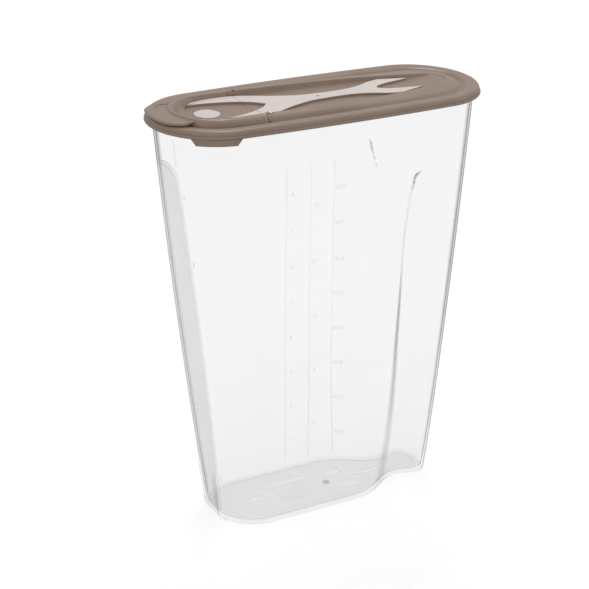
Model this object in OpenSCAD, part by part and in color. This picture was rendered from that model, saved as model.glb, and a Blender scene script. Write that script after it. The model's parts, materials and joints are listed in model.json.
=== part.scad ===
// Cereal container with a lift-off lid and a flip spout.
// X runs along the container with the spout at -X, Z is up, and the origin is
// the middle of the lid's outline, dropped to the surface that it stands on.

/* [Container] */
// Height of the container wall, up to the top of its rim
body_h = 303.2; // [240:0.1:340]
// Length of the base
base_len = 178.3; // [150:0.1:200]
// Width of the base
base_wid = 66.6; // [60:0.1:72]
// How far the base's middle lies behind the lid's middle
base_shift = 10.8; // [0:0.1:14]
// Thickness of the container wall
wall = 1.5; // [1.2:0.1:2]
// Thickness of the container floor
floor_t = 1.8; // [1.2:0.1:3]
// How far the walls swell outwards at half height
wall_bow = 2.2; // [0:0.1:4]
// How far the rim bead stands proud of the wall
rim_bead = 0.5; // [0.2:0.1:0.7]
// Height of the rim bead
rim_bead_h = 3.0; // [2:0.1:5]
// Width of the foot ring under the base
foot_w = 4.5; // [3:0.1:8]
// Depth of the hollow inside the foot ring
foot_h = 0.8; // [0.4:0.1:1.2]

/* [Front panel] */
// Depth that the flat front panel cuts into the round front at the base
panel_cut = 1.8; // [1:0.1:3]
// Slope of the front panel, in millimetres forward per millimetre of height
panel_slope = 0.1367; // [0.13:0.0001:0.145]
// Half the width of the panel's arched top
panel_half = 20.5; // [14:0.1:24]
// Height of the top of the panel's arch
panel_top = 276; // [200:1:285]
// Height of the stacking lugs at the panel's lower corners
lug_h = 38; // [20:1:60]
// How far the lugs stand proud
lug_t = 1.0; // [0.6:0.1:1.5]
// Width of each lug
lug_w = 7; // [4:0.1:9]

/* [Grip] */
// Depth of the hand recess at the base
grip_depth = 19; // [10:0.1:21]
// Depth of the hand recess just under its arched top
grip_top_depth = 4.0; // [2:0.1:6]
// Place of the recess along the container
grip_x = 70; // [60:0.1:72]
// Height of the top of the recess
grip_top = 257; // [200:1:270]
// Height of the recess's arched top
grip_arch = 22; // [12:1:40]
// Run of the recess's front flank at the base
grip_front = 56; // [40:1:60]
// Run of the recess's rear flank at the base
grip_rear = 30; // [22:1:32]

/* [Lid] */
// Length of the lid over its lip
lid_len = 250.5; // [210:0.1:270]
// Width of the lid over its lip
lid_wid = 91.4; // [82:0.1:100]
// How far the lip overhangs the container's wall at its ends
end_over = 5.45; // [5:0.05:6.5]
// How far the lip overhangs the container's wall at its sides
side_over = 2.7; // [2.5:0.1:3.5]
// Outward curve of the lid's long sides
lid_bulge = 1.8; // [0:0.1:3]
// Thickness of the lid's shell
lid_t = 1.5; // [1.2:0.1:2]
// Height of the lip's edge
lip_h = 1.2; // [0.8:0.1:2]
// Height of the bead's crown over the lip's lower edge
bead_h = 5.4; // [5:0.1:7]
// Height of the valley between bead and platform over the lip's lower edge
valley_h = 3.3; // [3:0.1:3.8]
// Inset of the platform's foot from the lip
foot_inset = 13.9; // [12:0.1:16]
// Depth of the plug wall that reaches into the container
plug_depth = 1.2; // [0.6:0.1:6]
// Clearance between the plug wall and the container's wall
plug_gap = 0.6; // [0.4:0.1:1]
// Drop of the lift tabs below the lip
tab_drop = 4.4; // [2:0.1:8]
// Height of the platform's crest over the lip, at the spout end
crest_front = 8.4; // [7.5:0.1:10]
// Height of the platform's crest over the lip, at the rear end
crest_rear = 6.3; // [5:0.1:7]
// Half the width of the dished middle, at the spout end
dish_front_r = 26.6; // [24:0.1:28]
// Half the width of the dished middle, at its rear tip
dish_rear_r = 12; // [8:0.5:16]
// How late the dished middle narrows towards the rear
dish_taper = 3.7; // [3:0.1:5]
// Place along the lid where the dish's floor starts to ramp up to the rear
ramp_x = 80; // [79.5:0.5:90]
// Height of the crest over the rear end of that ramp
ramp_step = 0.6; // [0.4:0.1:1.5]

/* [Spout] */
// Distance of the hinge line in front of the lid's middle
hinge_back = 53; // [45:0.1:58]
// Radius of the hinge knuckles
knuckle_r = 2.4; // [2:0.1:2.6]
// Radius of the hinge pins
pin_r = 0.9; // [0.7:0.05:1]
// Running clearance between a pin and its socket
pin_gap = 0.05; // [0.03:0.01:0.09]
// Length of each hinge pin
pin_len = 2.2; // [1.5:0.1:2.4]
// Width of each of the flap's knuckles
knuckle_w = 3.2; // [2.5:0.1:4]
// Half the width of the pouring mouth
mouth_r = 23; // [18:0.1:24]
// Depth of the flap's sealing rim
seal_depth = 4.0; // [2:0.1:6]
// Half the angle that the thumb lip spans
thumb_half = 40; // [25:1:42]
// Thickness of the thumb lip
thumb_t = 1.9; // [1.4:0.1:2]

/* [Inlay] */
// Thickness of the pale inlay over the dish's floor
inlay_t = 1.8; // [1:0.1:2.2]
// Half the width of the inlay's waist
waist_half = 5.4; // [4:0.1:8]
// Diameter of the round badge
badge_d = 17.5; // [12:0.1:22]
// Thickness of the round badge
badge_t = 0.6; // [0.4:0.1:1.2]

/* [Label] */
// Length of the paper label under the base
label_len = 33; // [20:1:40]
// Width of the paper label
label_wid = 24; // [14:1:30]
// Thickness of the paper label
label_t = 0.2; // [0.1:0.05:0.3]

/* [Hidden] */

clear = "#e8ecee";
taupe = "#a08c7d";
cream = "#ece2de";
paper = "#f6f6f4";

gap = 0.3;
far = 400;
cap_steps = 24;
side_steps = 16;
waist_lead = 4;

// Heights that pieces share
seat_gap = 0.2;
lip_z = body_h - 3.2;
foot_z = lip_z + valley_h;
deck_top = foot_z - lid_t - gap;
floor_z = foot_z + 0.1;
crest_z = lip_z + crest_front;
hinge_x = -hinge_back;
hinge_z = crest_z - knuckle_r;
lid_a = lid_len / 2;
lid_b = lid_wid / 2;
top_len = lid_len - 2 * end_over;
top_wid = lid_wid - 2 * side_over;

// Smooth step from 0 to 1
function ease(t) = let (u = min(1, max(0, t))) u * u * (3 - 2 * u);
function mix(a, b, t) = a + (b - a) * t;
function flat(lists) = [for (l = lists) for (p = l) p];

// A closed outline with a round rear end of radius rr and a round front end of
// radius rf, whose half width between them is side(s), s running 0 at the rear
function outline(xr, rr, xf, rf, power, bulge) =
    let (cr = xr - rr, cf = xf + rf)
    concat(
        [for (i = [0:cap_steps]) let (a = -90 + 180 * i / cap_steps) [cr + rr * cos(a), rr * sin(a)]],
        [for (i = [1:side_steps - 1])
            let (s = i / side_steps, x = mix(cr, cf, s))
            [x, mix(rf, rr, pow(1 - s, power)) + bulge * 4 * s * (1 - s)]],
        [for (i = [0:cap_steps]) let (a = 90 + 180 * i / cap_steps) [cf + rf * cos(a), rf * sin(a)]],
        [for (i = [side_steps - 1:-1:1])
            let (s = i / side_steps, x = mix(cr, cf, s))
            [x, -mix(rf, rr, pow(1 - s, power)) - bulge * 4 * s * (1 - s)]]
    );

// The lid's outline, drawn in by an inset
function lid_ring(inset) =
    outline(lid_a - inset, lid_b - inset, -lid_a + inset, lid_b - inset, 1, lid_bulge);

function at_z(ring, z) = [for (p = ring) [p[0], p[1], z]];

// Side faces of rings stacked from the bottom up, each running counter-clockwise
function side_faces(n, m, wrap = false) = [
    for (i = [0:m - (wrap ? 1 : 2)]) for (j = [0:n - 1])
        let (a = i * n, b = ((i + 1) % m) * n, k = (j + 1) % n)
        each [[a + j, b + j, b + k], [a + j, b + k, a + k]]
];

// Rings closed by flat ends
module stack(rings) {
    n = len(rings[0]);
    m = len(rings);
    ends = [[for (j = [0:n - 1]) j], [for (j = [n - 1:-1:0]) (m - 1) * n + j]];
    polyhedron(points = flat(rings), faces = concat(side_faces(n, m), ends), convexity = 8);
}

// Rings closed by a middle point at each end
module dome(rings, low, high) {
    n = len(rings[0]);
    m = len(rings);
    low_fan = [for (j = [0:n - 1]) [m * n, j, (j + 1) % n]];
    high_fan = [for (j = [0:n - 1]) [m * n + 1, (m - 1) * n + (j + 1) % n, (m - 1) * n + j]];
    polyhedron(points = concat(flat(rings), [low, high]),
        faces = concat(side_faces(n, m), low_fan, high_fan), convexity = 8);
}

// Rings of the container's outline, closed by a fan from a point at its waist,
// from where the whole outline can be seen
module filled(rings) {
    x = grip_x - waist_lead;
    dome(rings, [x, 0, rings[0][0][2]], [x, 0, rings[len(rings) - 1][0][2]]);
}

// Rings joined into an endless band
module band(rings) {
    polyhedron(points = flat(rings), faces = side_faces(len(rings[0]), len(rings), true), convexity = 8);
}

// CONTAINER

function rise(z) = z / lip_z;
function bow(z) = wall_bow * 4 * rise(z) * (1 - rise(z));
function rear_x(z) = mix(base_len / 2 + base_shift, top_len / 2, rise(z)) + bow(z) / 2;
function front_x(z) = mix(base_shift - base_len / 2, -top_len / 2, rise(z)) - bow(z);
function half_w(z) = mix(base_wid, top_wid, rise(z)) / 2 + bow(z);

// Depth of the hand recess at a place x and a height z
function arch(z) = z < grip_top - grip_arch ? 1 : sqrt(max(0, 1 - pow((z - grip_top + grip_arch) / grip_arch, 2)));
function grip_d(x, z) =
    let (
        k = ease(z / (grip_top - grip_arch)),
        d = mix(grip_depth, grip_top_depth, z / (grip_top - grip_arch)) * arch(z),
        centre = mix(grip_x, grip_x - 4, k),
        run = (x < centre ? mix(grip_front, grip_front * 0.42, k) : mix(grip_rear, grip_rear * 0.7, k)),
        shape = (x < centre ? mix(4, 2, k) : 2),
        t = abs(x - centre) / (run * mix(0.55, 1, arch(z)))
    )
    t >= 1 || d <= 0 ? 0 : d * pow(cos(90 * t), shape);

// The container's outline at height z, drawn in by an inset
function body_ring(z, inset, proud = 0) =
    let (
        r = half_w(z) - inset + proud,
        ring = outline(rear_x(z) - inset + proud, r, front_x(z) + inset - proud, r, 1, 0)
    )
    [for (p = ring)
        let (d = grip_d(p[0], z) * min(1, abs(p[1]) / 12), y = max(0, abs(p[1]) - d))
        [p[0], p[1] < 0 ? -y : y, z]];

wall_zs = [3.5, 20, 45, 75, 105, 135, 165, 195, 215, 230, 239, 246, 251, 254.5, grip_top, 275, lip_z - 6];

module body_outer() {
    filled(concat(
        [body_ring(0, 2.0), body_ring(0.8, 0.7)],
        [for (z = wall_zs) body_ring(z, 0)],
        [
            body_ring(body_h - rim_bead_h - rim_bead, 0),
            body_ring(body_h - rim_bead_h, 0, rim_bead),
            body_ring(body_h, 0, rim_bead)
        ]
    ));
}

module body_inner() {
    filled(concat(
        [body_ring(floor_t + foot_h, wall + 2.2), body_ring(floor_t + foot_h + 1.2, wall + 0.6)],
        [for (z = wall_zs) if (z > floor_t + foot_h + 2) body_ring(z, wall)],
        [body_ring(body_h + 1, wall)]
    ));
}

// The prism that cuts the flat panel, set back by a depth
module panel_prism(back) {
    tilt = atan(panel_slope);
    arch_r = panel_half + back;
    translate([base_shift - base_len / 2 + panel_cut + back, 0, 0])
        rotate([0, -tilt, 0])
            translate([-60, 0, 0])
                rotate([90, 0, 90])
                    linear_extrude(60)
                        union() {
                            translate([-arch_r, -20])
                                square([2 * arch_r, 20 + panel_top - panel_half]);
                            translate([0, panel_top - panel_half])
                                circle(arch_r, $fn = 64);
                        }
}

// A lug at each lower corner of the panel
module panel_lugs() {
    tilt = atan(panel_slope);
    corner = sqrt(pow(base_wid / 2, 2) - pow(base_wid / 2 - panel_cut, 2));
    for (side = [-1, 1])
        intersection() {
            body_outer_plain(lug_t);
            translate([base_shift - base_len / 2 - lug_t * 0.5, side * (corner + lug_w * 0.3), 0])
                rotate([0, -tilt, 0])
                    translate([-4, -lug_w / 2, 0])
                        cube([13, lug_w, lug_h]);
        }
}

// A plain slice of the container's lower front, swollen by a depth
module body_outer_plain(swell) {
    difference() {
        filled([for (z = [0, 20, 45, 75]) body_ring(z, 0, swell * min(1, 0.3 + z / 8))]);
        filled([for (z = [-1, 20, 45, 76]) body_ring(z, wall / 2)]);
    }
}

module container_body() {
    color(clear)
        difference() {
            union() {
                difference() {
                    body_outer();
                    panel_prism(0);
                }
                panel_lugs();
            }
            difference() {
                body_inner();
                panel_prism(wall);
            }
            translate([0, 0, -1])
                filled([body_ring(0, foot_w, 0), at_z(body_ring(0, foot_w, 0), foot_h + 1)]);
        }
}

// LID

// Inset and height over the lip of each point of the rim's section, from its
// outer edge over the bead and back below it
rim_over = [
    [0, 0], [0, lip_h], [0.9, lip_h + 0.4], [0.8, bead_h * 0.56], [1.8, bead_h * 0.87], [4, bead_h],
    [8, bead_h - 0.2], [10.6, mix(valley_h, bead_h, 0.55)], [12.2, valley_h], [foot_inset - gap, valley_h],
    [foot_inset - gap, valley_h - lid_t], [11.8, valley_h - lid_t], [10.7, valley_h - lid_t + 0.8]
];

// Inset from the container's outer wall and height over the lip, round the plug
seat_h = body_h - lip_z + seat_gap;
plug_section = [
    [wall + plug_gap + lid_t, bead_h - lid_t - 0.2], [wall + plug_gap + lid_t, -plug_depth],
    [wall + plug_gap, -plug_depth], [wall + plug_gap, seat_h]
];

// Inset and height over the lip of the skirt's inner face
skirt_in = side_over - rim_bead - gap;
skirt_section = [[skirt_in + 0.1, seat_h], [skirt_in, seat_h - 0.8], [skirt_in, 0]];

module rim() {
    band(concat(
        [for (p = rim_over) at_z(lid_ring(p[0]), lip_z + p[1])],
        [for (p = plug_section) at_z(body_ring(lip_z + min(0, p[1]), p[0]), lip_z + p[1])],
        [for (p = skirt_section) at_z(lid_ring(p[0]), lip_z + p[1])]
    ));
}

// Height of the platform's crest at a place x
crest_start = -95;
crest_fade = 185;
function crest(x) = lip_z + mix(crest_front, crest_rear, ease((x - crest_start) / crest_fade));

// Outline of the dished middle, drawn in by an inset
dish_front_x = -(lid_a - foot_inset - 2.6);
dish_rear_x = lid_a - foot_inset - 8;
function dish_ring(inset) =
    outline(dish_rear_x - inset, max(0.4, dish_rear_r - inset), dish_front_x + inset, dish_front_r - inset,
        dish_taper, 0);

// A ring of the platform, between its foot (t = 0) and its crest (t = 1)
function slope_ring(t, f) =
    let (foot = lid_ring(foot_inset), top = dish_ring(0))
    [for (i = [0:len(foot) - 1])
        let (p = mix(foot[i], top[i], t)) [p[0], p[1], mix(foot_z, crest(p[0]), f)]];

// Run of the dish's wall, steep at the rear and easy round the spout's bowl
bowl_run = 7.5;
steep_run = 1.3;
bowl_start = -105;
bowl_fade = 35;
function wall_run(x) = mix(bowl_run, steep_run, ease((x - bowl_start) / bowl_fade));

// Height of the dish's floor along the foot of its wall
function floor_at(x) = mix(floor_z, crest(x) - ramp_step, ease((x - ramp_x) / (dish_rear_x - ramp_x)));

// A ring on the wall of the dish, t = 0 at the crest and 1 at its floor
function wall_ring(t, down, drop = 0) =
    let (top = dish_ring(0), foot = dish_ring(bowl_run))
    [for (i = [0:len(top) - 1])
        let (p = mix(top[i], foot[i], t * wall_run(top[i][0]) / bowl_run))
        [p[0], p[1], mix(crest(p[0]), floor_at(p[0]), down) - drop]];

// A ring on the flat floor, which ends where the ramp starts
function floor_ring(t, drop = 0) = [for (p = wall_ring(t, 1)) [min(p[0], ramp_x), p[1], floor_z - drop]];

platform_top = [
    slope_ring(0, 0), slope_ring(0.2, 0.57), slope_ring(0.5, 0.84), slope_ring(0.8, 0.97),
    slope_ring(1, 1), wall_ring(0.3, 0.12), wall_ring(0.75, 0.8), wall_ring(1, 1), floor_ring(1.15)
];

// The platform's underside, hollow below its crest
platform_under = [
    floor_ring(1.3, lid_t), wall_ring(1.15, 1, lid_t), wall_ring(0.9, 1, lid_t), wall_ring(-0.2, 0.25, lid_t),
    slope_ring(0.6, 0.45), at_z(slope_ring(0.35, 0), foot_z - lid_t), at_z(slope_ring(0, 0), foot_z - lid_t)
];

module platform_shell() {
    dome(concat(platform_under, platform_top), [0, 0, floor_z - lid_t], [0, 0, floor_z]);
}

// The same platform without its hollow
module platform_solid() {
    dome(concat([at_z(slope_ring(0, 0), foot_z - lid_t)], platform_top), [0, 0, foot_z - lid_t], [0, 0, floor_z]);
}

// A slab across the lid from x0 to x1
module slab(x0, x1, z0 = 0, z1 = 2 * far) {
    translate([x0, -far / 2, z0])
        cube([x1 - x0, far, z1 - z0]);
}

// Places along the hinge line, measured out from the middle
knuckle_in = dish_front_r - 1.4;
knuckle_out = knuckle_in + knuckle_w;
tongue_in = knuckle_out + gap;
tongue_out = dish_front_r + 7.4;
ridge_end = hinge_x + knuckle_r + gap;
hinge_wall = 5;

// A rod along the hinge line, from y0 out to y1 on one side
module hinge_rod(r, y0, y1, side) {
    translate([hinge_x, side * y0, hinge_z])
        rotate([-side * 90, 0, 0])
            cylinder(r = r, h = y1 - y0, $fn = 48);
}

// Room behind the knuckles for the flap's crest as it swings up
module swing_room(side) {
    lean = 3 * tan(12);
    hinge_rod(knuckle_r + gap, knuckle_in - gap, tongue_in, side);
    translate([0, side > 0 ? tongue_in : gap - knuckle_in, 0])
        rotate([90, 0, 0])
            linear_extrude(tongue_in - knuckle_in + gap)
                polygon([
                    [hinge_x - 1, hinge_z], [ridge_end, hinge_z],
                    [ridge_end + lean, hinge_z + 3], [hinge_x - 1, hinge_z + 3]
                ]);
}

// The outline of the pouring mouth, drawn in by an inset
module mouth_outline(inset) {
    front_c = dish_front_x + dish_front_r;
    r = mouth_r - inset;
    translate([front_c, 0])
        circle(r, $fn = 96);
    translate([front_c, -r])
        square([hinge_x - 6 - inset - front_c, 2 * r]);
}

// The lift tabs that hang from the lip at both front corners
tab_turn = 66;
tab_w = 35;
tab_corner = 4;
module lift_tabs() {
    for (side = [-1, 1])
        intersection() {
            translate([0, 0, lip_z - tab_drop])
                linear_extrude(tab_drop + lip_h / 2)
                    difference() {
                        polygon(lid_ring(0));
                        polygon(lid_ring(skirt_in));
                    }
            translate([lid_b - lid_a, 0, lip_z])
                rotate([0, 0, 180 + side * tab_turn])
                    rotate([90, 0, 90])
                        linear_extrude(2 * lid_b)
                            polygon([
                                [tab_corner - tab_w / 2, -tab_drop - 1], [tab_w / 2 - tab_corner, -tab_drop - 1],
                                [tab_w / 2, 1], [-tab_w / 2, 1]
                            ]);
        }
}

// The ledge round the mouth, which the flap shuts on
module deck() {
    translate([0, 0, deck_top - lid_t])
        linear_extrude(lid_t)
            difference() {
                intersection() {
                    polygon([for (p = body_ring(lip_z, wall + plug_gap + lid_t / 2)) [p[0], p[1]]]);
                    translate([-far, -far / 2])
                        square([far + hinge_x + 2, far]);
                }
                mouth_outline(0);
            }
}

// What joins the platform to the rim and to the deck
module lid_joins() {
    translate([0, 0, foot_z - lid_t])
        linear_extrude(lid_t)
            difference() {
                polygon(lid_ring(foot_inset - 2 * gap));
                polygon(lid_ring(foot_inset + gap));
            }
    intersection() {
        union() {
            platform_solid();
            translate([0, 0, deck_top - lid_t])
                linear_extrude(lid_t + gap * 2)
                    polygon(lid_ring(foot_inset));
        }
        slab(hinge_x + gap / 2, ridge_end + 2);
    }
}

// The tongues that hold the hinge pins
module tongues() {
    intersection() {
        platform_solid();
        for (side = [-1, 1]) {
            hinge_rod(knuckle_r, tongue_in, tongue_out, side);
            translate([hinge_x, side > 0 ? tongue_in : -tongue_out, foot_z - lid_t])
                cube([ridge_end - hinge_x + 1, tongue_out - tongue_in, far]);
        }
    }
}

module lid() {
    color(taupe)
        difference() {
            union() {
                rim();
                deck();
                lift_tabs();
                difference() {
                    union() {
                        platform_shell();
                        lid_joins();
                    }
                    slab(-far, hinge_x + gap / 2, foot_z - lid_t - 0.1);
                    for (side = [-1, 1]) {
                        swing_room(side);
                        translate([hinge_x - 1, side > 0 ? tongue_in : -far, foot_z])
                            cube([ridge_end - hinge_x + 1, far - tongue_in, far]);
                    }
                }
                tongues();
            }
            for (side = [-1, 1])
                hinge_rod(pin_r + pin_gap, tongue_in - 1, knuckle_out + pin_len + gap, side);
        }
}

// FLAP

// Radius of the thumb lip's edge at an angle from the front
function thumb_r(a) = lid_b - 5.2 * ease((abs(a) - thumb_half * 0.45) / (thumb_half * 0.55));

// Points of the thumb lip's section: share of its reach, and height over the lip
thumb_root = lid_b - foot_inset - 2.8;
thumb_low = bead_h + gap + 0.25;
thumb_section = [
    [0, thumb_low], [0.55, thumb_low], [0.97, thumb_low + 0.1], [1, thumb_low + thumb_t * 0.4],
    [0.94, thumb_low + thumb_t + 0.15], [0.6, thumb_low + thumb_t + 0.3], [0.54, thumb_low + thumb_t - 0.7],
    [0, thumb_low + thumb_t - 0.5]
];

// A section of the thumb lip at an angle, with a share of its reach
thumb_steps = 20;
thumb_end = 2;
function thumb_ring(a, share) =
    [for (p = thumb_section)
        let (
            r = mix(thumb_root, thumb_r(a), p[0] * share),
            h = mix(thumb_low + thumb_t * 0.4, p[1], max(0.3, share))
        )
        [lid_b - lid_a - r * cos(a), r * sin(a), lip_z + h]];

module thumb_lip() {
    stack(concat(
        [thumb_ring(-thumb_half - thumb_end, 0.05)],
        [for (i = [0:thumb_steps]) thumb_ring(thumb_half * (2 * i / thumb_steps - 1), 1)],
        [thumb_ring(thumb_half + thumb_end, 0.05)]
    ));
}

module seal_rim() {
    translate([0, 0, floor_z - lid_t - seal_depth])
        linear_extrude(seal_depth + 0.4)
            difference() {
                mouth_outline(0.9);
                mouth_outline(2.1);
            }
}

module spout_flap() {
    color(taupe)
        difference() {
            union() {
                difference() {
                    union() {
                        platform_shell();
                        intersection() {
                            platform_solid();
                            slab(hinge_x - hinge_wall, hinge_x);
                        }
                    }
                    slab(hinge_x - gap / 2, far);
                }
                thumb_lip();
                seal_rim();
                for (side = [-1, 1]) {
                    hinge_rod(knuckle_r, knuckle_in, knuckle_out, side);
                    hinge_rod(pin_r, knuckle_out - 1, knuckle_out + pin_len, side);
                }
            }
            for (side = [-1, 1])
                difference() {
                    hinge_rod(knuckle_r + gap, tongue_in - gap, tongue_out + 2, side);
                    hinge_rod(pin_r, tongue_in - 1, knuckle_out + pin_len, side);
                }
        }
}

module flap_badge() {
    color(cream)
        translate([badge_x, 0, floor_z])
            cylinder(d = badge_d, h = badge_t, $fn = 96);
}

// INLAY

// A smooth curve through points
function curve_point(a, b, c, d, t) =
    (2 * b + (c - a) * t + (2 * a - 5 * b + 4 * c - d) * t * t + (3 * b - a - 3 * c + d) * t * t * t) / 2;
function curve(pts, steps = 4) =
    let (m = len(pts) - 1)
    [for (i = [0:m - 1]) for (k = [0:steps - 1])
        curve_point(pts[max(0, i - 1)], pts[i], pts[i + 1], pts[min(m, i + 2)], k / steps)];

badge_x = dish_front_x + dish_front_r - 2;
rear_tip = [78.5, 10.5];
rear_kink = [57.5, 16.3];
front_kink = [-56, 24.8];
front_tip = [-92, 18];
waist_front = [-8, waist_half + 1.2];
waist_rear = [16, waist_half];

// One side of the crossed inlay, from its rear notch round to its front notch
inlay_side = concat(
    curve([[47.5, 0], [50.5, 3.6], [59, 6.8], [69, 8.7], rear_tip]),
    curve([rear_tip, [68, 13.4], rear_kink]),
    curve([rear_kink, [48, 13.8], [38, 9.2], [28, 6.4], waist_rear, [3, waist_half + 0.3], waist_front,
        [-18, 9.4], [-28, 13], [-38, 17.8], [-48, 22.6], front_kink]),
    curve([front_kink, [-66, 25.6], [-76, 24.8], [-86, 21.8], front_tip]),
    curve([front_tip, [-83, 18.3], [-73, 16.6], [-63, 14.2], [-53, 10.4], [-45, 5.4], [-40, 0]]),
    [[-40, 0]]
);

module inlay_outline() {
    back = [for (i = [len(inlay_side) - 2:-1:1]) [inlay_side[i][0], -inlay_side[i][1]]];
    intersection() {
        polygon(concat(inlay_side, back));
        polygon([for (p = wall_ring(1.1, 1)) [p[0], p[1]]]);
    }
}

module lid_inlay() {
    color(cream)
        translate([0, 0, floor_z])
            linear_extrude(inlay_t)
                intersection() {
                    inlay_outline();
                    translate([hinge_x + gap / 2, -far / 2])
                        square(far);
                }
}

// One of the inlay's two front arms, on the side that y has
module flap_arm(side) {
    color(cream)
        translate([0, 0, floor_z])
            linear_extrude(inlay_t)
                intersection() {
                    inlay_outline();
                    translate([hinge_x - gap / 2 - far, side > 0 ? 0 : -far])
                        square(far);
                }
}

module flap_inlay_left() {
    flap_arm(-1);
}

module flap_inlay_right() {
    flap_arm(1);
}

// LABEL

label_x = -9.5;
module base_label() {
    color(paper)
        translate([label_x - label_len / 2, -label_wid / 2, foot_h - label_t])
            cube([label_len, label_wid, label_t]);
}

container_body();
lid();
spout_flap();
lid_inlay();
flap_inlay_left();
flap_inlay_right();
flap_badge();
base_label();
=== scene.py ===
"""Looks of a dry food container with a lift-off lid and a hinged flip spout.

Every piece is made in metres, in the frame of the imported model, and rides on
one of that model's bodies. +X runs to the rear, the spout is at -X and +Z is up.
"""

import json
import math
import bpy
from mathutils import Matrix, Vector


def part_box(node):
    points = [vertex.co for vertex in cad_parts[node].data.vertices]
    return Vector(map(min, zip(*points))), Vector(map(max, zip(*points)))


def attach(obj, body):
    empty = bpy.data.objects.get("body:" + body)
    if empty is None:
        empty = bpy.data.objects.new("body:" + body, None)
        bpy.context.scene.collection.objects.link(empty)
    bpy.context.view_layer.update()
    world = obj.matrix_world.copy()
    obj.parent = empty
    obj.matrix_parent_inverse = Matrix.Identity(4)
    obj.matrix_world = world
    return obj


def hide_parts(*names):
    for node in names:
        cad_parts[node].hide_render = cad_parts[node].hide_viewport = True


bl_info = {
    "name": "Flip Spout Container",
    "version": (1, 0, 0),
    "blender": (4, 5, 0),
    "location": "View3D > Sidebar > Container",
    "description": "Builds a clear food container, its lid and its flip spout round a packed frame",
    "category": "Add Mesh",
}

import bpy
import bmesh
import numpy as np
from mathutils import Matrix, Vector

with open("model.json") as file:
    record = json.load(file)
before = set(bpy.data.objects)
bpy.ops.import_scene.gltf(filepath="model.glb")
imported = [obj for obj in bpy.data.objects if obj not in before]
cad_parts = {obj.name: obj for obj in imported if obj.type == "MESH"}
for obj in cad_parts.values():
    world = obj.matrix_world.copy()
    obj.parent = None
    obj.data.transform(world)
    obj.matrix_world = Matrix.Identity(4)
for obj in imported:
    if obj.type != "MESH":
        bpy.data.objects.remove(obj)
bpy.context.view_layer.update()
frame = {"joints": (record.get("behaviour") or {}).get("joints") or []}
MM = 0.001

BODY_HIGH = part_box("container_body")[1]
LID_LOW, LID_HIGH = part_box("lid")
INLAY_LOW, INLAY_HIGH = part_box("lid_inlay")
BADGE_LOW, BADGE_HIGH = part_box("flap_badge")
LABEL_LOW, LABEL_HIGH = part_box("base_label")
HINGE = Vector(next(j["pos_m"] for j in frame["joints"] if j["name"] == "flap_hinge"))
LIP_Z = BODY_HIGH.z - 3.2 * MM


def length(name, text, default, low=0.0, high=1.0):
    """A size in metres that the panel shows as a length."""
    return bpy.props.FloatProperty(
        name=name,
        description=text,
        default=default,
        min=low,
        max=high,
        unit="LENGTH",
        subtype="DISTANCE",
    )


def colour(name, text, default):
    """A colour that the panel shows as a swatch."""
    return bpy.props.FloatVectorProperty(
        name=name, description=text, default=default, min=0.0, max=1.0, size=3, subtype="COLOR"
    )


class ContainerSizes(bpy.types.PropertyGroup):
    """Sizes of the clear container"""

    wall: length("Wall", "Thickness of the wall", 1.5 * MM)
    floor: length("Floor", "Thickness of the floor", 1.8 * MM)
    base_len: length("Base length", "Length of the base", 178.3 * MM)
    base_wid: length("Base width", "Width of the base", 66.6 * MM)
    base_shift: length("Base shift", "Distance of the base's middle behind the lid's middle", 10.8 * MM)
    end_over: length("End overhang", "Overhang of the lid's lip at its ends", 5.45 * MM)
    side_over: length("Side overhang", "Overhang of the lid's lip at its sides", 2.7 * MM)
    bow: length("Bow", "Outward swell of the walls at half height", 2.2 * MM)
    rim_bead: length("Rim bead", "How far the rim bead stands proud", 0.5 * MM)
    rim_bead_h: length("Rim bead height", "Height of the rim bead", 3.0 * MM)
    foot_w: length("Foot ring", "Width of the foot ring", 4.5 * MM)
    foot_h: length("Foot hollow", "Depth of the hollow inside the foot ring", 0.8 * MM)
    panel_cut: length("Panel cut", "Depth of the flat front panel at the base", 1.8 * MM)
    panel_half: length("Panel arch", "Half the width of the panel's arched top", 20.5 * MM)
    panel_top: length("Panel top", "Height of the top of the panel's arch", 276 * MM)
    lug_h: length("Lug height", "Height of the stacking lugs", 38 * MM)
    lug_t: length("Lug stand-off", "How far the lugs stand proud", 1.0 * MM)
    lug_w: length("Lug width", "Width of each lug", 7 * MM)
    grip_depth: length("Grip depth", "Depth of the hand recess at the base", 17.6 * MM)
    grip_top_depth: length("Grip top depth", "Depth of the hand recess under its arch", 4.0 * MM)
    grip_x: length("Grip place", "Place of the hand recess along the container", 70 * MM)
    grip_top: length("Grip top", "Height of the top of the recess", 256 * MM)
    grip_arch: length("Grip arch", "Radius of the recess's arched top", 8 * MM)
    grip_edge: length("Grip edge", "Run of the recess's front flank under its arch", 5 * MM)
    grip_front: length("Grip front run", "Run of the recess's front flank at the base", 56 * MM)
    grip_rear: length("Grip rear run", "Run of the recess's rear flank at the base", 30 * MM)


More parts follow.
